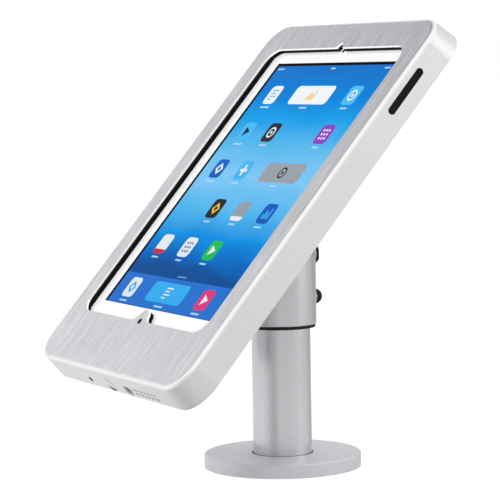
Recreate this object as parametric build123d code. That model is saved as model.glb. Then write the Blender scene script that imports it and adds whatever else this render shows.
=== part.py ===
from build123d import *
import os
from math import pi, radians, sin, sqrt

os.makedirs("parts", exist_ok=True)

# Tablet security kiosk stand. Millimetres, +Z up, origin at the middle of the
# base's underside, on the axis of the post. The screen faces -Y and leans back.

# Clearances and overruns
overrun = 1.0           # how far a cutting body runs past the face it cuts
seat_gap = 0.3          # between a piece and one of another body that it rests on
running_gap = 0.05      # radial, shaft in its bearing
fixed_gap = 0.05        # radial, between pieces pressed or screwed together
edge_gap = 0.6          # between the rear cover and the shell's walls

# Base
base_r = 50.0
base_height = 8.65
cover_wall = 2.0
cover_chamfer = 0.7
rim_gap = 0.1           # the cover's rim stands this far off the counter
pad_thickness = 1.2
pad_inset = 1.0         # from the flange's edge to the pad's
flange_gap = 1.5        # between the flange and the cover's wall
bolt_edge = 12.5        # from the flange's edge to the bolt circle
bolt_count = 4
bolt_hole_r = 2.75
bolt_sink_r = 5.4
cable_hole_r = 8.0
grommet_wall = 2.0
grommet_lip = 1.0
foot_height = 14.0
foot_wall = 5.4
foot_screw_count = 3
foot_screw_r = 2.0
foot_screw_head_r = 3.8
foot_screw_length = 15.0

# Post
post_r = 18.8
post_wall = 2.5
seal_wall = 0.8
seal_drop = 0.5         # the seal's top lies this far below the cover's top
groove_width = 7.0
groove_depth = 1.4
sweep_allowance = 1.2   # of the angle that the screw's tip takes up in the groove
swivel_limit_deg = 165.0
thrust_thickness = 1.5

# Swivel head
head_r = 22.8
pivot_z = 133.4
skirt_length = 42.3     # from the pivot down to the head's lower rim
head_wall = 2.1
liner_flange = 2.0      # thickness of the black ring under the rim
liner_flange_inset = 0.7
head_chamfer = 0.5
web_thickness = 6.8
screw_below_post_top = 6.4
screw_r = 3.0
spot_depth = 0.5        # of the flat seat under the lower screw's washer
spot_edge = 0.5         # how far that seat reaches past the screw's dome
dome_r = 5.0
dome_neck = 0.6         # straight part under the dome
dome_washer_r = 4.85
dome_washer_thickness = 1.9
tilt_screw_r = 4.0
tilt_screw_rise = 1.0   # above the pivot
tilt_spot_depth = 1.4
tilt_spot_r = 7.8
tilt_washer_r = 6.8
tilt_washer_thickness = 1.5
hexagon_across = 13.0   # across the flats of the upper screw's head
hexagon_height = 2.1
hexagon_chamfer = 0.5
brake_length = 3.0
socket_r = 1.9
socket_depth = 2.2
head_cable_r = 4.0

# Tilt arm
tilt_deg = 41.0         # the face leans back from upright by this angle
knuckle_r = 11.0
knuckle_width = 15.4
washer_thickness = 0.8
washer_gap = 0.1
washer_r = 10.0
slot_gap = 0.4
slot_lip = 6.4          # the front lip stops this far below the pivot
pin_r = 3.0
pin_seat = 13.0         # from the middle to the seat of the bolt's head
pin_head_r = 5.0
pin_head_length = 6.0
pin_socket_r = 2.8
pocket_r = 6.1
nut_length = 5.2
spring_washer = 1.2
neck_thickness = 14.0
plate_width = 90.0
plate_thickness = 4.0
plate_corner = 8.0
plate_screw_edge = 7.5
rib_reach = 10.0
rib_height = 5.6
plate_screw_r = 2.0
plate_screw_head_r = 3.9
plate_screw_head = 2.6
plate_screw_length = 9.6
cable_window_width = 30.0
cable_window_height = 18.0
cable_window_round = 0.45       # corner radius as a share of the height
cable_window_edge = 7.0         # from the plate's lower edge

# Enclosure, measured in its own frame: X across, Y up the face, Z out of the face
face_corner = 18.0
side_margin = 16.5      # half of what the face is wider than the tablet
tablet_shift = 3.0      # the tablet, the lobe and the notch lie this far right of the middle
top_margin = 9.7
bottom_margin = 29.3
depth = 19.1
wall_flare = 2.3        # the walls lean outwards by this much from front to back
edge_round = 3.0
front_wall = 1.5
side_wall = 2.0
pivot_to_face = 53.5
centre_above_pivot = 9.9
side_cover = 1.0        # half of what the tablet is wider than the window
top_cover = 11.9
bottom_cover = 9.4
window_corner = 12.0
tab_r = 6.0
tab_height = 8.6
tab_blend = 8.0
tab_hole_r = 2.1
notch_r = 3.8
cover_plate = 2.0
hinge_side = 26.5       # from the tablet's edges to the hinges
hinge_pin_r = 1.2
hinge_knuckle_r = 2.4
hinge_knuckle_width = 9.0
hinge_ear_width = 3.5
hinge_ear_gap = 0.3
hinge_head_r = 1.9
hinge_head = 1.0
hinge_wall_gap = 0.4    # between the knuckles and the shell's top wall
hinge_swing_gap = 0.8   # how far the rear cover's top edge stands above the hinge's axis

# Gasket and tablet
gasket_thickness = 2.6
gasket_border = 3.0
gasket_lap = 0.5        # of the gasket over the glass, where the window reaches past the tablet
tablet_width = 173.0
tablet_height = 241.0
tablet_thickness = 7.5
tablet_corner = 9.0
tablet_back_round = 2.5
glass_thickness = 1.0
display_side = 11.7     # from the tablet's edges to the display's
display_end = 21.0
display_depth = 0.5
home_r = 5.3
home_gap = 0.3
home_travel = 0.4
lens_r = 1.6
home_from_edge = 10.4
lens_from_edge = 11.2
block_arm = 26.0
block_reach = 7.0       # past the tablet's top and bottom edges
block_screw_r = 1.5
block_screw_head_r = 2.8
block_screw_head = 1.6

# Right wall slot
slot_from_top = 51.2
slot_length = 34.9
slot_width = 4.9
slot_depth = 7.95       # from the front face to the slot's middle
insert_recess = 0.3
insert_flange = 1.6

# Bottom wall
small_hole_x = -34.8
small_hole_depth = 13.0
small_hole_r = 2.15
port_x = -6.2
port_depth = 13.4
port_r = 5.2
port_gap = 0.1
vent_x = 28.0
vent_pitch = 4.3
vent_count = 8
vent_depth = 12.0
vent_row_gap = 3.2
vent_row_shift = 1.8
vent_r = 0.9

# Lock
lock_x = 19.0
lock_depth = 14.4
lock_nose_r = 4.4
lock_recess = 0.6
lock_block_width = 13.0
lock_block_length = 16.0
lock_block_front = 8.5
lock_plug_r = 3.0
keyway_width = 1.2
keyway_length = 4.4
keyway_depth = 3.0
latch_length = 4.7
latch_width = 2.6
latch_gap = 0.3
keeper_gap = 2.6
keeper_thickness = 1.5
keeper_width = 18.0
keeper_height = 8.6
keeper_foot = 11.0
rivet_r = 1.5
rivet_place = 0.62      # along the keeper's foot
rivet_head_r = 2.6
rivet_head = 0.9

# Rear cover's fittings
strip_offset = 24.5     # from the plate's screws to the strips
strip_end = 45.5
strip_width = 12.0
clinch_r = 4.2
clinch_height = 3.4
slit_length = 34.0
slit_width = 3.0
slit_pitch = 8.0
slit_count = 5
slit_from_top = 22.0
slit_side = 25.5        # from the middle to the slits' middles

# Heights that follow from the sizes above
face_width = tablet_width + 2 * side_margin
face_height = tablet_height + top_margin + bottom_margin
tablet_rise = (bottom_margin - top_margin) / 2
tablet_top = face_height / 2 - top_margin
tablet_bottom = bottom_margin - face_height / 2
window_top = tablet_top - top_cover
window_bottom = tablet_bottom + bottom_cover
window_width = tablet_width - 2 * side_cover
window_height = window_top - window_bottom
window_rise = (window_top + window_bottom) / 2
display_width = tablet_width - 2 * display_side
display_height = tablet_height - 2 * display_end
slot_rise = face_height / 2 - slot_from_top
plate_pitch = plate_width - 2 * plate_screw_edge
strip_x = plate_pitch / 2 + strip_offset
strip_length = tablet_height - 2 * strip_end
flange_r = base_r - cover_wall - flange_gap
pad_r = flange_r - pad_inset
bolt_circle_r = flange_r - bolt_edge
flange_top = base_height - cover_wall
head_bottom = pivot_z - skirt_length
slot_floor_r = knuckle_r + slot_gap
head_floor = pivot_z - slot_floor_r - web_thickness
thrust_top = head_floor - seat_gap
post_top = thrust_top - thrust_thickness
swivel_screw_z = post_top - screw_below_post_top
post_bore_r = post_r - post_wall
cover_hole_r = post_r + seal_wall + fixed_gap
liner_inner_r = post_r + running_gap
liner_outer_r = head_r - head_wall
slot_half = knuckle_width / 2 + washer_thickness + 2 * washer_gap
spot_y = head_r - spot_depth
dome_seat_y = spot_y + dome_washer_thickness
tilt_spot_y = head_r - tilt_spot_depth
hexagon_seat_y = tilt_spot_y + tilt_washer_thickness
tilt_screw_z = pivot_z + tilt_screw_rise
brake_end_y = slot_floor_r + brake_length
glass_z = -(front_wall + gasket_thickness)
tablet_back_z = glass_z - tablet_thickness
cover_inner_z = -(depth - cover_plate)
flare_slope = wall_flare / depth
arm_plate_z = -depth
plate_y = -centre_above_pivot
cable_window_y = plate_y - plate_width / 2 + cable_window_edge + cable_window_height / 2
hinge_x = tablet_width / 2 - hinge_side
inner_half_height = face_height / 2 + wall_flare - side_wall
cover_half_width = face_width / 2 + wall_flare - side_wall - edge_gap
cover_bottom = -(inner_half_height - edge_gap)
hinge_z = cover_inner_z + hinge_knuckle_r + seat_gap
hinge_y = face_height / 2 - flare_slope * hinge_z - side_wall - hinge_knuckle_r - hinge_wall_gap
cover_top = hinge_y + hinge_swing_gap
lock_wall = face_height / 2 + flare_slope * lock_depth


def rod_x(r, x0, x1, y=0, z=0):
    return Pos((x0 + x1) / 2, y, z) * Rot(Y=90) * Cylinder(r, x1 - x0)


def rod_y(r, y0, y1, x=0, z=0):
    return Pos(x, (y0 + y1) / 2, z) * Rot(X=90) * Cylinder(r, y1 - y0)


def rod_z(r, z0, z1, x=0, y=0):
    return Pos(x, y, (z0 + z1) / 2) * Cylinder(r, z1 - z0)


def block(x0, x1, y0, y1, z0, z1):
    middle = Pos((x0 + x1) / 2, (y0 + y1) / 2, (z0 + z1) / 2)
    return middle * Box(x1 - x0, y1 - y0, z1 - z0)


def ring_z(r_in, r_out, z0, z1):
    return rod_z(r_out, z0, z1) - rod_z(r_in, z0 - overrun, z1 + overrun)


def slab(sketch, z0, z1):
    return Pos(0, 0, z0) * extrude(sketch, amount=z1 - z0)


def around(count, radius, make):
    """The same body at equal steps on a circle about Z."""
    bodies = [Rot(Z=360 * i / count) * Pos(radius, 0, 0) * make() for i in range(count)]
    return bodies


def corners(pitch_x, pitch_y):
    return [(sx * pitch_x / 2, sy * pitch_y / 2) for sx in (-1, 1) for sy in (-1, 1)]


def group(bodies):
    return Compound(children=list(bodies))


def in_row(local):
    """From the enclosure's own frame to the part's frame."""
    lean = Pos(0, 0, pivot_z) * Rot(X=90 - tilt_deg)
    return lean * Pos(0, centre_above_pivot, pivot_to_face) * local


# Base
def base_pad():
    pad = ring_z(cable_hole_r + grommet_lip + fixed_gap, pad_r, 0, pad_thickness)
    for hole in around(bolt_count, bolt_circle_r, pad_hole_cut):
        pad -= Rot(Z=45) * hole
    return pad


def pad_hole_cut():
    return rod_z(bolt_hole_r, -overrun, pad_thickness + overrun)


def base_flange():
    flange = ring_z(cable_hole_r, flange_r, pad_thickness, flange_top)
    sink = bolt_sink_r - bolt_hole_r
    for hole in around(bolt_count, bolt_circle_r, lambda: bolt_hole_cut(sink)):
        flange -= Rot(Z=45) * hole
    for hole in around(foot_screw_count, foot_screw_circle(), foot_screw_cut):
        flange -= hole
    return flange


def bolt_hole_cut(sink):
    hole = rod_z(bolt_hole_r, -overrun, flange_top + overrun)
    head = Pos(0, 0, flange_top - sink / 2) * Cone(bolt_hole_r, bolt_sink_r, sink)
    return hole + head


def foot_screw_circle():
    return post_bore_r - fixed_gap - foot_wall / 2


def foot_screw_body(grow):
    sink = foot_screw_head_r - foot_screw_r
    head = Pos(0, 0, pad_thickness + sink / 2) * Cone(foot_screw_head_r + grow, foot_screw_r + grow, sink)
    return head + rod_z(foot_screw_r + grow, pad_thickness, pad_thickness + foot_screw_length)


def foot_screw_cut():
    return foot_screw_body(fixed_gap)


def foot_screws():
    return group(around(foot_screw_count, foot_screw_circle(), lambda: foot_screw_body(0)))


def cable_grommet():
    bore = cable_hole_r - grommet_wall
    lip_r = cable_hole_r + grommet_lip
    sleeve = rod_z(cable_hole_r - fixed_gap, pad_thickness, flange_top)
    lip = rod_z(lip_r, 0, pad_thickness)
    return sleeve + lip - rod_z(bore, -overrun, flange_top + overrun)


def base_cover():
    outer = rod_z(base_r, rim_gap, base_height)
    outer = chamfer(outer.edges().group_by(Axis.Z)[-1], cover_chamfer)
    inside = rod_z(base_r - cover_wall, rim_gap - overrun, flange_top)
    return outer - inside - rod_z(cover_hole_r, 0, base_height + overrun)


def post_seal():
    return ring_z(post_r + fixed_gap, cover_hole_r - fixed_gap, flange_top, base_height - seal_drop)


# Post
def post_tube():
    tube = ring_z(post_bore_r, post_r, flange_top, post_top)
    land_deg = 360 - 2 * (swivel_limit_deg + screw_sweep_deg())
    low, high = swivel_screw_z - groove_width / 2, swivel_screw_z + groove_width / 2
    groove = ring_z(post_r - groove_depth, post_r + overrun, low, high)
    reach = 2 * post_r
    half = reach * sin(radians(land_deg / 2))
    wedge = Polyline((0, 0), (-half, -reach), (half, -reach), close=True)
    land = slab(make_face(wedge), low - overrun, high + overrun)
    return tube - (groove - land)


def screw_sweep_deg():
    """Half the angle that the screw's tip takes up in the groove, in degrees, with a little room."""
    return sweep_allowance * 180 * screw_r / (pi * post_r)


def post_foot():
    outer = post_bore_r - fixed_gap
    foot = ring_z(outer - foot_wall, outer, flange_top, flange_top + foot_height)
    for hole in around(foot_screw_count, foot_screw_circle(), foot_screw_cut):
        foot -= hole
    return foot


def thrust_washer():
    return ring_z(post_bore_r - post_wall, post_r - fixed_gap, post_top, thrust_top)


# Swivel head
def swivel_head():
    profile = Polyline((0, head_bottom), (head_r, head_bottom), (head_r, pivot_z))
    dome = RadiusArc((head_r, pivot_z), (0, pivot_z + head_r), -head_r)
    close = Line((0, pivot_z + head_r), (0, head_bottom))
    head = revolve(Plane.XZ * make_face(profile + dome + close), Axis.Z)
    head = chamfer(head.edges().group_by(Axis.Z)[0], head_chamfer)
    head -= rod_z(liner_outer_r + fixed_gap, head_bottom - overrun, head_floor)
    head -= arm_slot()
    head -= rod_y(dome_r + spot_edge, spot_y, head_r + overrun, z=swivel_screw_z)
    head -= rod_y(screw_r + fixed_gap, 0, head_r, z=swivel_screw_z)
    head -= rod_y(tilt_spot_r, tilt_spot_y, head_r + overrun, z=tilt_screw_z)
    head -= rod_y(tilt_screw_r + fixed_gap, 0, head_r, z=tilt_screw_z)
    head -= rod_x(pin_r + fixed_gap, -head_r, head_r, z=pivot_z)
    for side in (-1, 1):
        ends = sorted((side * pin_seat, side * (head_r + overrun)))
        head -= rod_x(pocket_r, *ends, z=pivot_z)
    cable_y = -(liner_outer_r - 2 * head_cable_r + overrun)
    return head - rod_z(head_cable_r, head_floor - overrun, pivot_z, y=cable_y)


def arm_slot():
    """The way in which the knuckle turns: round below, open to the front and the top."""
    top = pivot_z + head_r + overrun
    front = -(head_r + overrun)
    well = rod_x(slot_floor_r, -slot_half, slot_half, z=pivot_z)
    mouth = block(-slot_half, slot_half, front, slot_floor_r, pivot_z - slot_lip, top)
    return well + mouth


def swivel_liner():
    low = head_bottom - liner_flange
    body = ring_z(liner_inner_r, liner_outer_r, head_bottom, post_top)
    flange = ring_z(liner_inner_r, head_r - liner_flange_inset, low, head_bottom)
    return body + flange - rod_y(screw_r + fixed_gap, 0, head_r, z=swivel_screw_z)


def hex_socket(r, y0, y1, z):
    return Pos(0, y1, z) * Rot(X=90) * extrude(RegularPolygon(r, 6), amount=y1 - y0)


def swivel_lock_screw():
    tip = post_r - groove_depth + seat_gap
    dome_y = dome_seat_y + dome_neck
    dome = Pos(0, dome_y, swivel_screw_z) * Sphere(dome_r)
    dome -= rod_y(2 * dome_r, dome_y - 2 * dome_r, dome_y, z=swivel_screw_z)
    dome += rod_y(dome_r, dome_seat_y, dome_y, z=swivel_screw_z)
    end = dome_y + dome_r
    dome -= hex_socket(socket_r, end - socket_depth, end + overrun, swivel_screw_z)
    return dome + rod_y(screw_r, tip, dome_seat_y, z=swivel_screw_z)


def tilt_lock_screw():
    end = hexagon_seat_y + hexagon_height
    corner_r = hexagon_across / sqrt(3)
    hexagon = RegularPolygon(corner_r, 6, rotation=30)
    head = Pos(0, end, tilt_screw_z) * Rot(X=90) * extrude(hexagon, amount=hexagon_height)
    turned = rod_y(corner_r, hexagon_seat_y, end, z=tilt_screw_z)
    turned = chamfer(turned.edges().group_by(Axis.Y)[-1], hexagon_chamfer)
    return (head & turned) + rod_y(tilt_screw_r, brake_end_y, hexagon_seat_y, z=tilt_screw_z)


def screw_washers():
    """Washers under the heads of the two screws."""
    lower = rod_y(dome_washer_r, spot_y, dome_seat_y, z=swivel_screw_z)
    lower -= rod_y(screw_r + fixed_gap, 0, 2 * head_r, z=swivel_screw_z)
    upper = rod_y(tilt_washer_r, tilt_spot_y, hexagon_seat_y, z=tilt_screw_z)
    upper -= rod_y(tilt_screw_r + fixed_gap, 0, 2 * head_r, z=tilt_screw_z)
    return group([lower, upper])


def brake_pad():
    return rod_y(tilt_screw_r - fixed_gap, knuckle_r + seat_gap, brake_end_y, z=tilt_screw_z)


def tilt_bolt():
    shank_end = -(pin_seat + spring_washer + nut_length)
    shank = rod_x(pin_r, shank_end, pin_seat, z=pivot_z)
    head = rod_x(pin_head_r, pin_seat, pin_seat + pin_head_length, z=pivot_z)
    socket = RegularPolygon(pin_socket_r, 6)
    depth_in = pin_head_length / 2
    start = Pos(pin_seat + pin_head_length - depth_in, 0, pivot_z) * Rot(Y=90)
    return shank + head - start * extrude(socket, amount=depth_in + overrun)


def tilt_spring_washer():
    outer = rod_x(pin_head_r, -(pin_seat + spring_washer), -pin_seat, z=pivot_z)
    return outer - rod_x(pin_r + fixed_gap, -head_r, 0, z=pivot_z)


def tilt_nut():
    start = -(pin_seat + spring_washer)
    hexagon = RegularPolygon(pocket_r - seat_gap, 6)
    nut = Pos(start, 0, pivot_z) * Rot(Y=-90) * extrude(hexagon, amount=nut_length)
    return nut - rod_x(pin_r + fixed_gap, start - nut_length - overrun, 0, z=pivot_z)


def friction_washers():
    inner = knuckle_width / 2 + washer_gap
    pair = []
    for side in (-1, 1):
        ends = sorted((side * inner, side * (inner + washer_thickness)))
        washer = rod_x(washer_r, *ends, z=pivot_z)
        pair.append(washer - rod_x(pin_r + fixed_gap, -head_r, head_r, z=pivot_z))
    return group(pair)


# Tilt arm, in the enclosure's frame
def tilt_arm():
    half = knuckle_width / 2
    pivot = -pivot_to_face
    plate_low = arm_plate_z - plate_thickness
    arm = rod_x(knuckle_r, -half, half, y=plate_y, z=pivot)
    arm += block(-half, half, plate_y - neck_thickness / 2, plate_y + neck_thickness / 2, pivot, plate_low)
    plate = Pos(0, plate_y) * RectangleRounded(plate_width, plate_width, plate_corner)
    arm += slab(plate, plate_low, arm_plate_z)
    for side in (-1, 1):
        root, reach = side * neck_thickness / 2, side * (neck_thickness / 2 + rib_reach)
        points = [(plate_y, plate_low - rib_height), (plate_y + root, plate_low - rib_height)]
        points += [(plate_y + reach, plate_low), (plate_y, plate_low)]
        rib = make_face(Polyline(*points, close=True))
        arm += Pos(-half, 0, 0) * extrude(Plane.YZ * rib, amount=knuckle_width)
    arm -= rod_x(pin_r + running_gap, -knuckle_width, knuckle_width, y=plate_y, z=pivot)
    for x, y in corners(plate_pitch, plate_pitch):
        arm -= rod_z(plate_screw_r + fixed_gap, plate_low - overrun, arm_plate_z + overrun, x, plate_y + y)
    window = Pos(0, cable_window_y) * cable_window(0)
    return arm - slab(window, plate_low - overrun, arm_plate_z + overrun)


def cable_window(grow):
    w, h = cable_window_width + 2 * grow, cable_window_height + 2 * grow
    return RectangleRounded(w, h, cable_window_round * h)


def plate_screws():
    screws = []
    plate_low = arm_plate_z - plate_thickness
    for x, y in corners(plate_pitch, plate_pitch):
        head = rod_z(plate_screw_head_r, plate_low - plate_screw_head, plate_low, x, plate_y + y)
        head = fillet(head.edges().group_by(Axis.Z)[0], plate_screw_head / 2)
        socket_top = plate_low - plate_screw_head / 2
        socket = RegularPolygon(socket_r, 6)
        head -= Pos(x, plate_y + y) * slab(socket, plate_low - plate_screw_head - overrun, socket_top)
        shank_top = plate_low + plate_screw_length
        screws.append(head + rod_z(plate_screw_r, plate_low, shank_top, x, plate_y + y))
    return group(screws)


def clinch_nuts():
    nuts = []
    for x, y in corners(plate_pitch, plate_pitch):
        nut = rod_z(clinch_r, cover_inner_z, cover_inner_z + clinch_height, x, plate_y + y)
        low, high = cover_inner_z - overrun, cover_inner_z + clinch_height + overrun
        nuts.append(nut - rod_z(plate_screw_r + fixed_gap, low, high, x, plate_y + y))
    return group(nuts)


# Rear cover
def rear_cover():
    middle, height = (cover_top + cover_bottom) / 2, cover_top - cover_bottom
    corner = face_corner + wall_flare - side_wall - edge_gap
    outline = Pos(0, middle) * RectangleRounded(2 * cover_half_width, height, corner)
    cover = slab(outline, -depth, cover_inner_z)
    for x in (-hinge_x, hinge_x):
        cover += cover_knuckle(x)
    half = lock_block_width / 2 + edge_gap
    notch_low = cover_bottom - overrun
    notch_top = -(lock_wall - side_wall) + lock_block_length + edge_gap
    cover -= block(lock_x - half, lock_x + half, notch_low, notch_top, -depth - overrun, overrun)
    low, high = -depth - overrun, cover_inner_z + overrun
    for x, y in corners(plate_pitch, plate_pitch):
        cover -= rod_z(plate_screw_r + fixed_gap, low, high, x, plate_y + y)
    for x in rivet_places():
        cover -= rod_z(rivet_r + fixed_gap, low, high, x, rivet_y())
    grommet_hole = Pos(0, cable_window_y) * cable_window(-grommet_wall + fixed_gap)
    cover -= slab(grommet_hole, low, high)
    return cover - vent_slits()


def cover_knuckle(x):
    x0, x1 = x - hinge_knuckle_width / 2, x + hinge_knuckle_width / 2
    knuckle = rod_x(hinge_knuckle_r, x0, x1, hinge_y, hinge_z)
    low, high = hinge_y - hinge_knuckle_r, min(hinge_y + hinge_knuckle_r, cover_top)
    foot = block(x0, x1, low, high, cover_inner_z, hinge_z)
    return knuckle + foot - rod_x(hinge_pin_r + running_gap, x0 - overrun, x1 + overrun, hinge_y, hinge_z)


def shell_ear(x, side):
    """One of the two ears beside a knuckle. Its back is cut away to clear the rear cover."""
    near = x + side * (hinge_knuckle_width / 2 + hinge_ear_gap)
    x0, x1 = sorted((near, near + side * hinge_ear_width))
    ear = rod_x(hinge_knuckle_r, x0, x1, hinge_y, hinge_z)
    wall = face_height / 2 - flare_slope * hinge_z - side_wall / 2
    ear += block(x0, x1, hinge_y, wall, hinge_z, hinge_z + hinge_knuckle_r)
    return ear


def hinge_pins():
    pins = []
    reach = hinge_knuckle_width / 2 + hinge_ear_gap + hinge_ear_width
    for x in (-hinge_x, hinge_x):
        pin = rod_x(hinge_pin_r, x - reach, x + reach, hinge_y, hinge_z)
        pins.append(pin + rod_x(hinge_head_r, x + reach, x + reach + hinge_head, hinge_y, hinge_z))
    return group(pins)


def vent_slits():
    slits = []
    slit = SlotOverall(slit_length, slit_width)
    for side in (-1, 1):
        x = side * slit_side
        for i in range(slit_count):
            y = cover_top - slit_from_top - i * slit_pitch
            slits.append(slab(Pos(x, y) * slit, -depth - overrun, cover_inner_z + overrun))
    return slits


def rear_grommet():
    """Rubber sleeve that the charging cable passes, in the rear cover's window."""
    inner = cable_window(-2 * grommet_wall + fixed_gap)
    outer = cable_window(-grommet_wall)
    lip = cable_window(-grommet_wall + grommet_lip)
    body = slab(outer, -depth, cover_inner_z) + slab(lip, cover_inner_z, cover_inner_z + grommet_lip)
    body -= slab(inner, -depth - overrun, overrun)
    return Pos(0, cable_window_y) * body


def rivet_y():
    return keeper_y() + rivet_place * keeper_foot


def rivet_places():
    return [lock_x - keeper_width / 3, lock_x + keeper_width / 3]


def keeper_y():
    """Lower face of the keeper's standing wall."""
    return -(lock_wall - side_wall) + lock_block_length + keeper_gap


def lock_keeper():
    y0 = keeper_y()
    half = keeper_width / 2
    foot_top = cover_inner_z + keeper_thickness
    wall_top = cover_inner_z + keeper_height
    keeper = block(lock_x - half, lock_x + half, y0, y0 + keeper_foot, cover_inner_z, foot_top)
    keeper += block(lock_x - half, lock_x + half, y0, y0 + keeper_thickness, cover_inner_z, wall_top)
    hole_r = latch_length / 2 + latch_gap
    mouth_half = latch_width / 2 + latch_gap
    relief = y0 + keeper_foot / 2
    keeper -= rod_y(hole_r, y0 - overrun, relief, x=lock_x, z=-lock_depth)
    low, high = y0 + keeper_thickness, y0 + keeper_thickness + overrun
    keeper -= block(lock_x - hole_r, lock_x + hole_r, low, relief, cover_inner_z, foot_top + overrun)
    low = y0 - overrun
    keeper -= block(lock_x - mouth_half, lock_x + mouth_half, low, high, -lock_depth, wall_top + overrun)
    for x in rivet_places():
        keeper -= rod_z(rivet_r + fixed_gap, -depth, foot_top + overrun, x, rivet_y())
    return keeper


def keeper_rivets():
    rivets = []
    foot_top = cover_inner_z + keeper_thickness
    for x in rivet_places():
        head = rod_z(rivet_head_r, foot_top, foot_top + rivet_head, x, rivet_y())
        rivets.append(head + rod_z(rivet_r, -depth, foot_top, x, rivet_y()))
    return group(rivets)


def back_strips():
    """Foam strips on the rear cover, which keep the tablet from rattling."""
    strips = []
    for x in (-strip_x, strip_x):
        shape = Pos(x, tablet_rise) * Rectangle(strip_width, strip_length)
        strips.append(slab(shape, cover_inner_z, tablet_back_z - seat_gap))
    return group(strips)


# Front shell
def shell_section(inset, z):
    grow = 2 * (flare_slope * -z - inset)
    corner = face_corner + grow / 2
    return Pos(0, 0, z) * RectangleRounded(face_width + grow, face_height + grow, corner)


def window_outline():
    """The rounded opening, with the lobe over the home button and the notch at the lens."""
    window = Pos(0, window_rise) * RectangleRounded(window_width, window_height, window_corner)
    lobe_y = window_bottom + tab_height - tab_r
    blend_y = window_bottom + tab_blend
    blend_x = sqrt((tab_r + tab_blend) ** 2 - (blend_y - lobe_y) ** 2)
    touch = tab_r / (tab_r + tab_blend)
    touch_x, touch_y = blend_x * touch, lobe_y + (blend_y - lobe_y) * touch
    low = window_bottom - overrun
    points = [(-blend_x, low), (-blend_x, window_bottom), (-touch_x, touch_y)]
    points += [(touch_x, touch_y), (blend_x, window_bottom), (blend_x, low)]
    lobe = make_face(Polyline(*points, close=True)) + Pos(0, lobe_y) * Circle(tab_r)
    for side in (-1, 1):
        lobe -= Pos(side * blend_x, blend_y) * Circle(tab_blend)
    return window - Pos(tablet_shift, 0) * lobe + Pos(tablet_shift, window_top) * Circle(notch_r)


def front_shell():
    shell = loft([shell_section(0, 0), shell_section(0, -depth)])
    shell = fillet(shell.edges().group_by(Axis.Z)[-1], edge_round)
    shell -= loft([shell_section(side_wall, -front_wall), shell_section(side_wall, -depth - overrun)])
    for x in (-hinge_x, hinge_x):
        shell += [shell_ear(x, side) for side in (-1, 1)]
        reach = hinge_knuckle_width + hinge_ear_width
        shell -= rod_x(hinge_pin_r + fixed_gap, x - reach, x + reach, hinge_y, hinge_z)
    shell -= slab(window_outline(), -front_wall - overrun, overrun)
    shell -= rod_z(tab_hole_r, -front_wall - overrun, overrun, tablet_shift, window_bottom)
    shell -= side_slot(slot_length, slot_width, face_width / 2 - 2 * side_wall, face_width)
    wall_y = -(face_height / 2 - 2 * side_wall)
    beyond = -(face_height / 2 + wall_flare + overrun)
    shell -= rod_y(small_hole_r, beyond, wall_y, x=small_hole_x, z=-small_hole_depth)
    shell -= rod_y(port_r + port_gap, beyond, wall_y, x=port_x, z=-port_depth)
    shell -= rod_y(lock_nose_r + fixed_gap, beyond, wall_y, x=lock_x, z=-lock_depth)
    holes = [rod_y(vent_r, beyond, wall_y, x=x, z=-z) for x, z in vent_places()]
    return shell - holes


def vent_places():
    rows = [(0, vent_depth), (vent_row_shift, vent_depth + vent_row_gap)]
    return [(vent_x + shift + i * vent_pitch, z) for shift, z in rows for i in range(vent_count)]


def side_slot(length, width, x0, x1):
    capsule = Plane.YZ * (Pos(slot_rise, -slot_depth) * SlotOverall(length, width))
    return Pos(x0, 0, 0) * extrude(capsule, amount=x1 - x0)


def slot_insert():
    front_edge = slot_depth - slot_width / 2
    rim_x = face_width / 2 - side_wall + flare_slope * (front_edge - insert_flange)
    outer_x = face_width / 2 + flare_slope * front_edge - insert_recess
    body = side_slot(slot_length - 2 * fixed_gap, slot_width - 2 * fixed_gap, rim_x, outer_x)
    rim_length, rim_width = slot_length + 2 * insert_flange, slot_width + 2 * insert_flange
    return body + side_slot(rim_length, rim_width, rim_x - insert_flange, rim_x)


def port_plug():
    """Round blank that fills the cable port in the bottom wall."""
    rim_r = port_r + insert_flange
    outer = -(face_height / 2 + flare_slope * port_depth)
    inner = -(face_height / 2 - side_wall + flare_slope * (port_depth - rim_r))
    plug = rod_y(port_r, outer, inner, x=port_x, z=-port_depth)
    plug += rod_y(rim_r, inner, inner + insert_flange, x=port_x, z=-port_depth)
    beside, past = port_x - 2 * rim_r, port_x + 2 * rim_r
    flat_z = cover_inner_z + seat_gap
    return plug - block(beside, past, cover_bottom - seat_gap, 0, -2 * depth, flat_z)


# Gasket, tablet and its corner blocks
def window_gasket():
    width, height = tablet_width + 2 * gasket_border, tablet_height + 2 * gasket_border
    outer = Pos(tablet_shift, tablet_rise) * RectangleRounded(width, height, tablet_corner + gasket_border)
    opening = window_outline() & tablet_outline(-gasket_lap)
    hole = Pos(tablet_shift, window_bottom) * Circle(tab_hole_r)
    return slab(outer - opening - hole, glass_z, -front_wall)


def tablet_outline(grow=0):
    size = (tablet_width + 2 * grow, tablet_height + 2 * grow)
    return Pos(tablet_shift, tablet_rise) * RectangleRounded(*size, tablet_corner + grow)


def home_y():
    return tablet_bottom + home_from_edge


def tablet_back():
    glass_back = glass_z - glass_thickness
    body = slab(tablet_outline(), tablet_back_z, glass_back)
    body = fillet(body.edges().group_by(Axis.Z)[0], tablet_back_round)
    floor = glass_back - home_travel - seat_gap
    return body - rod_z(home_r + home_gap, floor, glass_back + overrun, tablet_shift, home_y())


def tablet_glass():
    glass = slab(tablet_outline(), glass_z - glass_thickness, glass_z)
    screen = Pos(tablet_shift, tablet_rise) * Rectangle(display_width, display_height)
    glass -= slab(screen, glass_z - display_depth, glass_z + overrun)
    low, high = glass_z - glass_thickness - overrun, glass_z + overrun
    glass -= rod_z(home_r + home_gap, low, high, tablet_shift, home_y())
    return glass - rod_z(lens_r, low, high, tablet_shift, lens_y())


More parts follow.
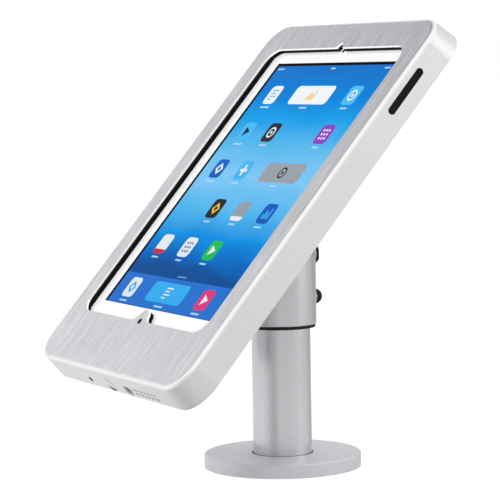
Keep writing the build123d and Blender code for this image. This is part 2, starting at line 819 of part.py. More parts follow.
def lens_y():
    return tablet_top - lens_from_edge


def tablet_lens():
    return rod_z(lens_r - fixed_gap, glass_z - glass_thickness, glass_z, tablet_shift, lens_y())


def tablet_display():
    width, height = display_width - 2 * fixed_gap, display_height - 2 * fixed_gap
    screen = Pos(tablet_shift, tablet_rise) * Rectangle(width, height)
    return slab(screen, glass_z - display_depth, glass_z)


def home_button():
    return rod_z(home_r, glass_z - glass_thickness, glass_z, tablet_shift, home_y())


def block_bounds(sx, sy):
    """Outer corner and inner corner of a corner block, across and up."""
    side = face_width / 2 - side_wall - edge_gap
    edge = tablet_rise + sy * (tablet_height / 2 + block_reach)
    xs = sorted((sx * side, sx * (side - block_arm)))
    ys = sorted((edge, edge - sy * block_arm))
    return xs, ys


def corner_blocks():
    pocket = slab(tablet_outline(fixed_gap), tablet_back_z - seat_gap, overrun)
    low = tablet_back_z - seat_gap - insert_flange
    inset = side_wall + edge_gap
    free = loft([shell_section(inset, -front_wall), shell_section(inset, low)])
    rim = slab(tablet_outline(gasket_border + fixed_gap), glass_z, overrun)
    bodies = []
    for sx in (-1, 1):
        for sy in (-1, 1):
            xs, ys = block_bounds(sx, sy)
            body = (block(*xs, *ys, low, -front_wall) & free) - pocket - rim
            x, y = block_screw_place(sx, sy)
            bodies.append(body - rod_z(block_screw_r + fixed_gap, low - overrun, overrun, x, y))
    return group(bodies)


def block_screw_place(sx, sy):
    xs, ys = block_bounds(sx, sy)
    outer_x = max(xs) if sx > 0 else min(xs)
    x = outer_x - sx * (abs(outer_x) - tablet_width / 2 - gasket_border) / 2
    inner_y = min(ys) if sy > 0 else max(ys)
    return x, inner_y + sy * block_arm / 3


def block_screws():
    screws = []
    low = tablet_back_z - seat_gap - insert_flange
    for sx in (-1, 1):
        for sy in (-1, 1):
            x, y = block_screw_place(sx, sy)
            shank = rod_z(block_screw_r, low, -front_wall, x, y)
            screws.append(shank + rod_z(block_screw_head_r, low - block_screw_head, low, x, y))
    return group(screws)


# Lock
def lock_housing():
    wall_in = -(face_height / 2 - side_wall + flare_slope * lock_block_front)
    back = -depth
    front = -lock_block_front
    half = lock_block_width / 2
    inner = -(lock_wall - side_wall) + lock_block_length
    body = block(lock_x - half, lock_x + half, wall_in, inner, back, front)
    nose = rod_y(lock_nose_r, -lock_wall + lock_recess, wall_in, x=lock_x, z=-lock_depth)
    bore = rod_y(lock_plug_r + running_gap, -lock_wall - overrun, 0, x=lock_x, z=-lock_depth)
    return body + nose - bore


def lock_plug():
    outer = -lock_wall + lock_recess + keyway_width / 2
    inner = -(lock_wall - side_wall) + lock_block_length + edge_gap / 2
    plug = rod_y(lock_plug_r, outer, inner, x=lock_x, z=-lock_depth)
    tip = keeper_y() + keeper_thickness + 2 * latch_gap
    half_w, half_l = latch_width / 2, latch_length / 2
    plug += in_lock_axis(block(-half_w, half_w, inner, tip, -half_l, half_l))
    half_w, half_l = keyway_width / 2, keyway_length / 2
    keyway = block(-half_w, half_w, outer - overrun, outer + keyway_depth, -half_l, half_l)
    return plug - in_lock_axis(keyway)


def in_lock_axis(body):
    return Pos(lock_x, 0, -lock_depth) * body


in_stand_frame = [
    base_pad, base_flange, foot_screws, cable_grommet, base_cover, post_seal,
    post_tube, post_foot, thrust_washer,
    swivel_head, swivel_liner, swivel_lock_screw, tilt_lock_screw, screw_washers, brake_pad,
    tilt_bolt, tilt_spring_washer, tilt_nut, friction_washers,
]
in_enclosure_frame = [
    tilt_arm, plate_screws, clinch_nuts, rear_cover, rear_grommet, lock_keeper,
    keeper_rivets, back_strips,
    front_shell, hinge_pins, slot_insert, port_plug, window_gasket, tablet_back, tablet_glass,
    tablet_display, tablet_lens, home_button, corner_blocks, block_screws,
    lock_housing, lock_plug,
]

for make in in_stand_frame:
    export_step(make(), "parts/" + make.__name__ + ".step")
for make in in_enclosure_frame:
    export_step(in_row(make()), "parts/" + make.__name__ + ".step")
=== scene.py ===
import math

import bmesh
import bpy
from mathutils import Matrix, Vector


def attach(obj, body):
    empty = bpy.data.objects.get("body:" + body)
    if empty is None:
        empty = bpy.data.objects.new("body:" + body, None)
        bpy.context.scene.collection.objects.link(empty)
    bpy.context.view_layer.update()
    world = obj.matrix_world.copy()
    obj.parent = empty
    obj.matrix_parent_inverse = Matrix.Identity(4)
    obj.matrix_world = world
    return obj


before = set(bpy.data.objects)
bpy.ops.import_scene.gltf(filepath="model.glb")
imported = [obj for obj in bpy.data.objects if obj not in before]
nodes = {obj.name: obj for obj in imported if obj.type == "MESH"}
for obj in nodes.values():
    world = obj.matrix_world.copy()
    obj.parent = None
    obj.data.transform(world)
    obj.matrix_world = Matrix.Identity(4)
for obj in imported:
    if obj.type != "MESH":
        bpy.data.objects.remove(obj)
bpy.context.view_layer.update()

MM = 0.001
WHITE = (1.0, 1.0, 1.0, 1.0)

# The enclosure's own frame: X across, Y up the face, Z out of it, zero in the middle of the face
LEAN = math.radians(41.0)               # how far the screen leans back
FACE_CENTRE = Vector((0.0, -33.882, 175.971)) * MM
FACE_TURN = math.radians(90.0) - LEAN
face_to_row = Matrix.Translation(FACE_CENTRE) @ Matrix.Rotation(FACE_TURN, 4, "X")

# Places on the front shell, in mm in that frame
FACE_HALF = 140.0                       # half the face's height
WALL_FLARE = 2.3 / 19.1                 # how far the walls lean out per mm of depth
EDGE_ROUND = 3.0                        # radius of the rounded front edge
EDGE_HIGHLIGHT_SHARE = 0.45                # the painted highlight on the edge is at its full above this share of it
FACE_SKIN = (-0.35, -0.08)              # the brushed face fades out between these depths
WINDOW_ACROSS = (-88.0, 88.0)           # the window lies within these
WINDOW_UP = (-106.0, 124.0)
WINDOW_CUT = (-1.6, -0.03)              # depths of the window's cut edge
LOBE_HOLE = (3.0, -101.3, 0.0)          # hole over the tablet's button
LOBE_HOLE_REACH = (0.0, 2.9)            # distances from its middle
LOBE_HOLE_CUT = (-1.6, -0.1)
WALL_HOLES_SUNK = (0.04, 1.9)           # how deep inside the bottom wall its holes get painted shade
WALL_HOLES_DEPTH = (-19.0, -8.0)
WALL_HOLES_ACROSS = (-80.0, 80.0)
LOCK_ACROSS = (13.0, 25.5)              # the lock's hole lies within these

# The display, in mm in the same frame
SCREEN_MIDDLE = (3.0, 9.8)
SCREEN_DEPTH = 4.1
LIT_ACROSS = (-68.4, 77.4)              # the lit picture, inside a black rim: the display's own border, wider at the left and top as painted shade
LIT_UP = (-89.3, 106.9)
TILE_FADE = (-110.0, 120.0)             # the tiles grow paler from the first height to the second

# Camera, fitted to the photograph's straight edges and circles
CAMERA_PLACE = Vector((1233.3, -676.5, 252.3)) * MM
CAMERA_YAW = math.radians(62.02)
CAMERA_PITCH = math.radians(-4.64)
CAMERA_ROLL = math.radians(-0.93)
SENSOR_WIDTH = 36.0                     # mm
FOCAL_LENGTH = 160.23                   # mm
CAMERA_REACH = 100.0                    # metres


def linear(colour):
    """A hex colour as sRGB shows it, turned to the linear values that Blender mixes."""
    parts = [int(colour[i:i + 2], 16) / 255 for i in (1, 3, 5)]
    return [c / 12.92 if c <= 0.04045 else ((c + 0.055) / 1.055) ** 2.4 for c in parts] + [1.0]


def add(tree, kind, inputs=None, **settings):
    """Adds one node, with its settings, and its inputs set or linked."""
    node = tree.nodes.new("ShaderNode" + kind)
    for name, value in settings.items():
        setattr(node, name, value)
    for key, value in (inputs or {}).items():
        if isinstance(value, bpy.types.NodeSocket):
            tree.links.new(value, node.inputs[key])
        else:
            node.inputs[key].default_value = value
    return node


def new_material(name):
    material = bpy.data.materials.new(name)
    material.use_nodes = True
    material.node_tree.nodes.clear()
    return material, material.node_tree


def close(tree, shader):
    add(tree, "OutputMaterial", {"Surface": shader.outputs[0]})


def ramp(tree, factor, stops):
    """A colour ramp with (place, hex colour) stops."""
    node = add(tree, "ValToRGB", {"Fac": factor})
    points = node.color_ramp.elements
    while len(points) < len(stops):
        points.new(0.5)
    for point, (place, colour) in zip(points, stops):
        point.position = place
        point.color = linear(colour)
    return node.outputs["Color"]


def mix_colour(tree, factor, first, second, blend="MIX"):
    inputs = {"Factor": factor, "A": first, "B": second}
    return add(tree, "Mix", inputs, data_type="RGBA", blend_type=blend).outputs["Result"]


def maths(tree, operation, a, b=0.0, clamp=False):
    return add(tree, "Math", {0: a, 1: b}, operation=operation, use_clamp=clamp).outputs[0]


def product(tree, first, *others):
    """The product of several values, such as masks of ones and zeros."""
    for value in others:
        first = maths(tree, "MULTIPLY", first, value)
    return first


def spread(tree, value, bounds, results):
    """A value carried from one range to another, and held at its ends."""
    inputs = {"Value": value, "From Min": bounds[0], "From Max": bounds[1],
              "To Min": results[0], "To Max": results[1]}
    return add(tree, "MapRange", inputs).outputs["Result"]


def rise_in_mm(tree, value, bounds):
    """Zero to one while a value in metres rises between two bounds in mm."""
    return spread(tree, value, [bound * MM for bound in bounds], (0.0, 1.0))


def between(tree, value, bounds):
    """One where a value in metres lies between two bounds in mm, zero elsewhere."""
    low, high = bounds
    above = maths(tree, "GREATER_THAN", value, low * MM)
    return product(tree, above, maths(tree, "LESS_THAN", value, high * MM))


def measure(tree, operation, first, second):
    """A distance or a dot product of two vectors."""
    return add(tree, "VectorMath", {0: first, 1: second}, operation=operation).outputs["Value"]


def split(tree, vector):
    return add(tree, "SeparateXYZ", {"Vector": vector}).outputs


def in_row_frame(tree):
    return add(tree, "TexCoord").outputs["Object"]


def in_face_frame(tree):
    """Object coordinates turned into the enclosure's own frame, in metres."""
    inputs = {"Vector": in_row_frame(tree), "Location": FACE_CENTRE, "Rotation": (FACE_TURN, 0, 0)}
    return add(tree, "Mapping", inputs, vector_type="TEXTURE").outputs[0]


def noise(tree, place, sizes, detail=2.0, rough=0.5):
    """Noise with grains of the given sizes, in mm along X, Y and Z."""
    scale = [1 / (size * MM) for size in sizes]
    counted = add(tree, "Mapping", {"Vector": place, "Scale": scale}, vector_type="POINT")
    inputs = {"Vector": counted.outputs[0], "Scale": 1.0, "Detail": detail, "Roughness": rough}
    return add(tree, "TexNoise", inputs).outputs["Fac"]


def even_grain(tree, size, detail=2.0, rough=0.5):
    return noise(tree, in_row_frame(tree), (size, size, size), detail, rough)


def bump(tree, height, depth_mm):
    inputs = {"Height": height, "Distance": depth_mm * MM, "Strength": 1.0}
    return add(tree, "Bump", inputs).outputs[0]


NOISE_RANGE = (0.3, 0.7)                # nearly all values of a noise lie between these


def cut_edge_highlight_mask(tree, parts):
    """One on the cut edge of the window, zero elsewhere; a painted highlight and glow go there."""
    return product(tree, between(tree, parts["X"], WINDOW_ACROSS),
                   between(tree, parts["Y"], WINDOW_UP), between(tree, parts["Z"], WINDOW_CUT))


def painted_shade_in_holes(tree, place, parts):
    """One inside the lobe's hole and inside the bottom wall's holes, but for the lock's; painted
    shade goes there.
    """
    from_hole = measure(tree, "DISTANCE", place, [length * MM for length in LOBE_HOLE])
    lobe = product(tree, between(tree, from_hole, LOBE_HOLE_REACH),
                   between(tree, parts["Z"], LOBE_HOLE_CUT))
    lean_out = maths(tree, "MULTIPLY", parts["Z"], WALL_FLARE)
    sunk = maths(tree, "SUBTRACT", parts["Y"], lean_out)
    beside_lock = maths(tree, "SUBTRACT", between(tree, parts["X"], WALL_HOLES_ACROSS),
                        between(tree, parts["X"], LOCK_ACROSS))
    wall = product(tree, between(tree, sunk, [depth - FACE_HALF for depth in WALL_HOLES_SUNK]),
                   between(tree, parts["Z"], WALL_HOLES_DEPTH), beside_lock)
    return maths(tree, "MAXIMUM", lobe, wall)


def brushed_aluminium():
    """Clear anodised aluminium. The face is brushed along its length, which shows as fine grey
    streaks; the walls are satin, with only a soft grain, and the rounded front edge is a thin
    painted highlight. The cut edge of the window has a painted highlight and a painted glow,
    and the small holes are painted black inside as shade."""
    material, tree = new_material("brushed_anodised_aluminium")
    place = in_face_frame(tree)
    parts = split(tree, place)
    on_face = rise_in_mm(tree, parts["Z"], FACE_SKIN)
    edge_highlight = rise_in_mm(tree, parts["Z"], (-EDGE_ROUND, -EDGE_HIGHLIGHT_SHARE * EDGE_ROUND))
    cut = cut_edge_highlight_mask(tree, parts)
    hole = painted_shade_in_holes(tree, place, parts)

    fine = noise(tree, place, (0.5, 16.0, 4.0), 3.0, 0.65)
    broad = noise(tree, place, (2.6, 34.0, 20.0))
    streaks = maths(tree, "ADD", product(tree, fine, 0.6), product(tree, broad, 0.4))
    grain = noise(tree, place, (0.7, 0.7, 0.7))
    face = ramp(tree, streaks, [(0.30, "#C0C1C4"), (0.52, "#E1E2E4"), (0.70, "#FCFCFD")])
    walls = ramp(tree, grain, [(0.30, "#DCDCDD"), (0.70, "#E6E6E7")])
    # painted highlight: the rounded front edge is painted near white
    walls = mix_colour(tree, edge_highlight, walls, linear("#FDFDFD"))
    colour = mix_colour(tree, on_face, walls, face)
    # painted highlight: the window's cut edge is painted a flat bright grey
    colour = mix_colour(tree, cut, colour, linear("#F2F2F2"))
    # painted shade: the insides of the small holes are painted near black
    colour = mix_colour(tree, hole, colour, linear("#101011"))

    face_rough = spread(tree, streaks, NOISE_RANGE, (0.24, 0.36))
    rough = add(tree, "Mix", {"Factor": on_face, "A": 0.42, "B": face_rough}).outputs["Result"]
    # painted glow: the cut edge glows, though it is no lamp
    glow = product(tree, cut, maths(tree, "SUBTRACT", 0.4, hole, clamp=True))
    shader = add(tree, "BsdfPrincipled", {
        "Base Color": colour, "Roughness": rough,
        "Metallic": maths(tree, "SUBTRACT", 1.0, maths(tree, "MAXIMUM", cut, hole)),
        "Normal": bump(tree, product(tree, fine, on_face), 0.03),
        "Emission Color": WHITE, "Emission Strength": glow})
    close(tree, shader)
    return material


def satin_aluminium(name, light, dark, rough, grain_mm=0.6):
    """Clear anodised aluminium with a fine blasted grain, which blurs reflections into soft
    bands."""
    material, tree = new_material(name)
    grain = even_grain(tree, grain_mm, 3.0, 0.7)
    shader = add(tree, "BsdfPrincipled", {
        "Base Color": ramp(tree, grain, [(0.32, dark), (0.68, light)]), "Metallic": 1.0,
        "Roughness": spread(tree, grain, NOISE_RANGE, (rough - 0.04, rough + 0.04)),
        "Normal": bump(tree, grain, 0.01)})
    close(tree, shader)
    return material


def silver_lacquer():
    """Silver powder lacquer: pale grey with a fine sparkle, and nearly matte."""
    material, tree = new_material("silver_powder_lacquer")
    grain = even_grain(tree, 0.5, 3.0, 0.7)
    shader = add(tree, "BsdfPrincipled", {
        "Base Color": ramp(tree, grain, [(0.32, "#DADADE"), (0.68, "#E9E9ED")]),
        "Metallic": 0.45, "Roughness": 0.46, "Normal": bump(tree, grain, 0.012)})
    close(tree, shader)
    return material


def plain_metal(name, light, dark, rough):
    """Machined or plated metal, or a metallic lacquer: fine marks and a soft change of tone."""
    material, tree = new_material(name)
    marks = even_grain(tree, 0.4, 3.0, 0.6)
    shader = add(tree, "BsdfPrincipled", {
        "Base Color": ramp(tree, marks, [(0.3, dark), (0.7, light)]), "Metallic": 1.0,
        "Roughness": spread(tree, marks, NOISE_RANGE, (rough - 0.05, rough + 0.06)),
        "Normal": bump(tree, marks, 0.01)})
    close(tree, shader)
    return material


def moulded(name, light, dark, rough, grain_mm=0.5, depth_mm=0.02, shine=0.5):
    """Moulded plastic, rubber or glass: an even colour with the fine grain of the mould."""
    material, tree = new_material(name)
    grain = even_grain(tree, grain_mm)
    shader = add(tree, "BsdfPrincipled", {
        "Base Color": ramp(tree, grain, [(0.3, dark), (0.7, light)]), "Specular IOR Level": shine,
        "Roughness": spread(tree, grain, NOISE_RANGE, (rough - 0.04, rough + 0.04)),
        "Normal": bump(tree, grain, depth_mm)})
    close(tree, shader)
    return material


def bezel_glass():
    """White paint behind clear glass: even white with a sharp, weak reflection. It glows a little,
    a painted light that lifts the shade beside the dark gasket, so it keeps its white."""
    material, tree = new_material("white_backed_glass")
    cloud = even_grain(tree, 40.0, 1.0)
    # the emission is painted light: the white glows, though it is no lamp, to lift its shade
    shader = add(tree, "BsdfPrincipled", {
        "Base Color": ramp(tree, cloud, [(0.3, "#B2B2B2"), (0.7, "#B6B6B6")]), "Roughness": 0.08,
        "Emission Color": WHITE, "Emission Strength": 0.42})
    close(tree, shader)
    return material


def lit(tree, colour):
    """A lit picture under coated glass: it glows, and the glass adds hardly any reflection."""
    return add(tree, "BsdfPrincipled", {
        "Base Color": (0.001, 0.001, 0.001, 1.0), "Roughness": 0.12, "Specular IOR Level": 0.005,
        "Emission Color": colour, "Emission Strength": 1.0})


def display_glass():
    """Display with a plain blue background: deep at the top, pale at mid height, deep again
    below, and a black rim: the display's own thin border, wider at the left and top as painted
    shade under the edge of the white paint."""
    material, tree = new_material("lit_display_glass")
    place = in_face_frame(tree)
    parts = split(tree, place)
    rise = rise_in_mm(tree, parts["Y"], LIT_UP)
    swell = spread(tree, noise(tree, place, (70.0, 22.0, 70.0), 1.0), NOISE_RANGE, (-0.02, 0.02))
    blue = ramp(tree, maths(tree, "ADD", rise, swell, clamp=True), [
        (0.00, "#0E4F96"), (0.15, "#0E4F96"), (0.21, "#036BC3"), (0.28, "#068FE2"),
        (0.40, "#50B6ED"), (0.53, "#80C8F6"), (0.67, "#54B7ED"), (0.77, "#189FE8"),
        (0.86, "#0483DC"), (0.99, "#1673CA")])
    # the black rim is partly the display's border and partly painted shade, wider at the left and
    # top
    inside = product(tree, between(tree, parts["X"], LIT_ACROSS), between(tree, parts["Y"], LIT_UP))
    close(tree, lit(tree, mix_colour(tree, inside, linear("#050506"), blue)))
    return material


def tile_material(name, low, high):
    """One lit colour of the tiles on the display, a little paler towards its top."""
    material, tree = new_material(name)
    fade = rise_in_mm(tree, split(tree, in_face_frame(tree))["Y"], TILE_FADE)
    close(tree, lit(tree, ramp(tree, fade, [(0.0, low), (1.0, high)])))
    return material


# Finishes, with what the eye sees, and the pieces that have them
finishes = {
    # pale metal with fine grey streaks on the face
    brushed_aluminium(): ["front_shell", "rear_cover"],
    # smooth pale metal with soft upright bands
    satin_aluminium("satin_anodised_aluminium", "#DBDBDE", "#C5C5C9", 0.20):
        ["post_tube", "swivel_head"],
    # nearly matte pale grey
    silver_lacquer(): ["base_cover"],
    # dull grey metal
    satin_aluminium("bead_blasted_aluminium", "#C6C8CA", "#B2B4B6", 0.45, 0.9):
        ["post_foot", "tilt_arm", "tablet_back"],
    # cool grey, half bright
    plain_metal("zinc_plated_steel", "#C2C4C8", "#A4A6AA", 0.32):
        ["base_flange", "foot_screws", "tilt_bolt", "tilt_spring_washer", "tilt_nut",
         "clinch_nuts", "lock_keeper", "keeper_rivets", "block_screws", "hinge_pins",
         "screw_washers"],
    # black with a weak metal gleam
    plain_metal("black_oxide_steel", "#2C2C2E", "#1A1A1C", 0.34):
        ["swivel_lock_screw", "tilt_lock_screw", "plate_screws"],
    # warm bright metal
    plain_metal("nickel_plated_brass", "#DAD6CE", "#BEB9AE", 0.22): ["lock_housing"],
    # the same, duller, and painted darker to stand for the shade in its recess
    plain_metal("shade_darkened_nickel_plated_brass", "#6E6B66", "#56534E", 0.34): ["lock_plug"],
    # matte black
    moulded("black_rubber", "#1C1C1D", "#111112", 0.62, 0.8):
        ["base_pad", "cable_grommet", "rear_grommet", "post_seal"],
    # deep matte black
    moulded("black_closed_cell_foam", "#141415", "#0A0A0B", 0.85, 0.6, 0.05, shine=0.1):
        ["window_gasket", "back_strips"],
    # black with a faint gleam
    moulded("black_nylon", "#161618", "#0E0E10", 0.5, shine=0.2):
        ["thrust_washer", "swivel_liner", "brake_pad", "friction_washers"],
    # even black
    moulded("black_moulded_plastic", "#1A1A1C", "#121214", 0.6, shine=0.12):
        ["slot_insert", "corner_blocks"],
    # the same pale grey as the wall round it
    plain_metal("silver_lacquered_plastic", "#E6E6E7", "#DCDCDD", 0.42): ["port_plug"],
    # glossy white
    moulded("white_gloss_plastic", "#F2F2F2", "#EDEDED", 0.15, 2.0, 0.002): ["home_button"],
    # a black mirror
    moulded("dark_lens_glass", "#0C0D12", "#060608", 0.06, 2.0, 0.001): ["tablet_lens"],
    # even bright white, with a painted glow
    bezel_glass(): ["tablet_glass"],
    # glowing blue
    display_glass(): ["tablet_display"],
}
for material, names in finishes.items():
    for name in names:
        slots = nodes[name].data.materials
        slots.clear()
        slots.append(material)


# The picture on the display: plain tiles with simple marks, in mm on the display
TILE = 15.2
TILE_CORNER = 3.4
COLUMN_PITCH = 33.8
MIDDLE_COLUMN = 1.5
ROW_PITCH = 31.0
TOP_ROW = 82.3
DOCK_TOP = -65.8
DOCK_DROP = 10.8                        # from the dock's top to the middle of its tiles
LABEL_DROP = 2.8                        # from a tile to the middle of its label
LABEL_LENGTH = 10.0
LABEL_CHANGE = 2.0                      # how much longer or shorter labels are
LABEL_HEIGHT = 1.3
LABEL_CORNER = 0.6
STATUS_DROP = 2.6                       # from the picture's top to the small bars under it
STATUS_HEIGHT = 1.2
STATUS_CORNER = 0.5
STATUS_BARS = ((-62.5, 9.0), (6.0, 5.5), (72.0, 7.0))     # middle and length
PAGE_DOTS = [1.5 + 2.6 * i for i in range(5)]
PAGE_DOT_RADIUS = 0.6
PAGE_DOT_RISE = 2.0                     # from the dock's top up to the dots
LAYER = 0.02                            # one layer of the picture above the next
CORNER_STEPS = 6
ROUND_STEPS = 32
DOT_STEPS = 16
PAGE_DOT_STEPS = 12


def rounded_square(x, y, width, height, corner):
    points = []
    for i, (sx, sy) in enumerate([(1, 1), (-1, 1), (-1, -1), (1, -1)]):
        cx, cy = x + sx * (width / 2 - corner), y + sy * (height / 2 - corner)
        for k in range(CORNER_STEPS + 1):
            angle = math.pi / 2 * (i + k / CORNER_STEPS)
            points.append((cx + corner * math.cos(angle), cy + corner * math.sin(angle)))
    return points


def box(left, right, low, high):
    return [(left, low), (right, low), (right, high), (left, high)]


def disc(x, y, radius, steps=ROUND_STEPS):
    angles = [2 * math.pi * k / steps for k in range(steps)]
    return [(x + radius * math.cos(a), y + radius * math.sin(a)) for a in angles]


class Picture:
    """Flat coloured shapes, layer over layer, gathered into one mesh."""

    def __init__(self, colours):
        self.mesh = bmesh.new()
        self.colours = colours

    def shape(self, points, colour, layer):
        height = -SCREEN_DEPTH + layer * LAYER
        corners = [face_to_row @ (Vector((x, y, height)) * MM) for x, y in points]
        face = self.mesh.faces.new([self.mesh.verts.new(corner) for corner in corners])
        face.material_index = list(self.colours).index(colour)

    def finish(self, name):
        data = bpy.data.meshes.new(name)
        self.mesh.to_mesh(data)
        self.mesh.free()
        for material in self.colours.values():
            data.materials.append(material)
        piece = bpy.data.objects.new(name, data)
        bpy.context.scene.collection.objects.link(piece)
        return piece


tile_colours = {
    "white": tile_material("lit_white", "#DCE4EA", "#F4F7FA"),
    "sky": tile_material("lit_sky_blue", "#2FA8EC", "#54C0F6"),
    "blue": tile_material("lit_blue", "#1552B4", "#1F66CC"),
    "navy": tile_material("lit_navy", "#12204A", "#1B2C5C"),
    "green": tile_material("lit_green", "#1EB455", "#35CC66"),
    "yellow": tile_material("lit_yellow", "#E0B020", "#F4CC3C"),
    "red": tile_material("lit_red", "#C8283A", "#E23C48"),
    "pink": tile_material("lit_pink", "#D83A78", "#EC4E90"),
    "purple": tile_material("lit_purple", "#7E34B4", "#9848CC"),
    "grey": tile_material("lit_grey", "#8A929C", "#A4ACB6"),
    "dark": tile_material("lit_dark_grey", "#22262C", "#30343C"),
    "dock": tile_material("lit_dock_blue", "#2A70CC", "#1E7CD6"),
    "label": tile_material("lit_label", "#A8CFF0", "#B4DAF6"),
}


def mark_ring(picture, x, y, back, front):
    outer, inner, middle = 4.4, 3.1, 1.3
    picture.shape(disc(x, y, outer), front, 2)
    picture.shape(disc(x, y, inner), back, 3)
    picture.shape(disc(x, y, middle), front, 4)


def mark_bars(picture, x, y, back, front):
    start, pitch, width, foot = 4.2, 2.3, 1.5, 4
    for i, height in enumerate((3.6, 6.4, 5.0, 8.2)):
        left = x - start + i * pitch
        picture.shape(box(left, left + width, y - foot, y - foot + height), front, 2)


def mark_triangle(picture, x, y, back, front):
    shift, radius = 0.6, 4.6
    picture.shape(disc(x - shift, y, radius, 3), front, 2)


def mark_diamond(picture, x, y, back, front):
    outer, inner = 4.8, 2.2
    picture.shape(disc(x, y, outer, 4), front, 2)
    picture.shape(disc(x, y, inner, 4), back, 3)


def mark_lines(picture, x, y, back, front):
    start, top, pitch, half = 4.2, 3.6, 2.4, 0.5
    for i, length in enumerate((8.4, 6.0, 8.4, 4.6)):
        left, middle = x - start, y + top - i * pitch
        picture.shape(box(left, left + length, middle - half, middle + half), front, 2)


def mark_half(picture, x, y, back, front):
    whole = rounded_square(x, y, TILE, TILE, TILE_CORNER)
    picture.shape([point for point in whole if point[1] <= y], front, 2)


def mark_dots(picture, x, y, back, front):
    pitch, radius = 3.2, 1.0
    for i in (-1, 0, 1):
        for j in (-1, 0, 1):
            picture.shape(disc(x + i * pitch, y + j * pitch, radius, DOT_STEPS), front, 2)


def mark_cross(picture, x, y, back, front):
    reach, half = 4.4, 1.1
    picture.shape(box(x - reach, x + reach, y - half, y + half), front, 2)
    picture.shape(box(x - half, x + half, y - reach, y + reach), front, 3)


def tile(picture, y, column, back, front, mark, wide=False):
    """One tile with its mark and, under it, a short bar in place of a label."""
    x = SCREEN_MIDDLE[0] + (column - MIDDLE_COLUMN + 0.5 * wide) * COLUMN_PITCH
    width = TILE + COLUMN_PITCH * wide
    picture.shape(rounded_square(x, y, width, TILE, TILE_CORNER), back, 1)
    mark(picture, x, y, back, front)
    length = LABEL_LENGTH + LABEL_CHANGE * math.sin(3 * x + y)
    low = y - TILE / 2 - LABEL_DROP
    picture.shape(rounded_square(x, low, length, LABEL_HEIGHT, LABEL_CORNER), "label", 1)


# From the top: column, back, front, mark, and whether the tile is two columns wide
tile_rows = [
    [(0, "white", "sky", mark_lines), (1, "white", "yellow", mark_bars, True),
     (3, "sky", "white", mark_ring)],
    [(0, "sky", "navy", mark_triangle), (1, "dark", "white", mark_ring),
     (3, "purple", "white", mark_dots)],
    [(0, "blue", "white", mark_diamond), (1, "sky", "white", mark_cross),
     (2, "grey", "dark", mark_ring, True)],
    [(1, "dark", "yellow", mark_diamond), (2, "grey", "white", mark_half),
     (3, "blue", "sky", mark_bars)],
    [(0, "white", "red", mark_half), (1, "white", "blue", mark_dots),
     (2, "green", "white", mark_triangle)],
]
dock_tiles = [(0, "white", "sky", mark_diamond), (1, "sky", "white", mark_lines, True),
              (3, "pink", "white", mark_triangle)]


def screen_picture():
    picture = Picture(tile_colours)
    for i, row in enumerate(tile_rows):
        for item in row:
            tile(picture, TOP_ROW - i * ROW_PITCH, *item)
    picture.shape(box(*LIT_ACROSS, LIT_UP[0], DOCK_TOP), "dock", 0.5)
    for item in dock_tiles:
        tile(picture, DOCK_TOP - DOCK_DROP, *item)
    for x, length in STATUS_BARS:
        bar = rounded_square(x, LIT_UP[1] - STATUS_DROP, length, STATUS_HEIGHT, STATUS_CORNER)
        picture.shape(bar, "label", 1)
    for x in PAGE_DOTS:
        dot = disc(x, DOCK_TOP + PAGE_DOT_RISE, PAGE_DOT_RADIUS, PAGE_DOT_STEPS)
        picture.shape(dot, "label", 1)
    return picture.finish("screen_picture")


picture = screen_picture()
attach(picture, "screen_case")


# Room: pale floor, white surroundings, and soft lamps
BRIGHT_SIDE = (-0.87, -0.50, 0.0)       # direction from which matt faces get more light
FILL, FILL_CHANGE = 0.95, 0.35          # mean strength of that light, and its change by direction
DIM_PLACE = (-0.569, -0.070, 0.819)     # direction of the middle of the dim place
DIM_REACH = (0.80, 1.0)                 # cosines of the angles from its middle
WALL_TOPS = (0.15, 0.40)                # the bands on the walls fade out between these heights
POOL_PLACE = (-0.15, -0.10, 0.0)        # middle of the pool of light on the floor, in metres
POOL_REACH = (0.2, 0.9)                 # distances from its middle, in metres
POOL_GLOW = (0.62, 0.41)                # its brightness at those distances
FLOOR_HALF = 30.0                       # metres
FLOOR_GLOW = 0.84                       # with the light on it, this shows the floor white
LAMP_AIM = Vector((0.0, -20.0, 130.0)) * MM


def turn_round(tree, parts):
    """Where a direction or a place lies round the upright axis: zero at -X, one after a turn."""
    angle = maths(tree, "ARCTAN2", parts["Y"], parts["X"])
    return spread(tree, angle, (-math.pi, math.pi), (0.0, 1.0))


def background(tree, colour, strength=1.0):
    return add(tree, "Background", {"Color": colour, "Strength": strength}).outputs[0]


def seen_directly(tree, path):
    return maths(tree, "MAXIMUM", path["Is Camera Ray"], path["Is Transmission Ray"])


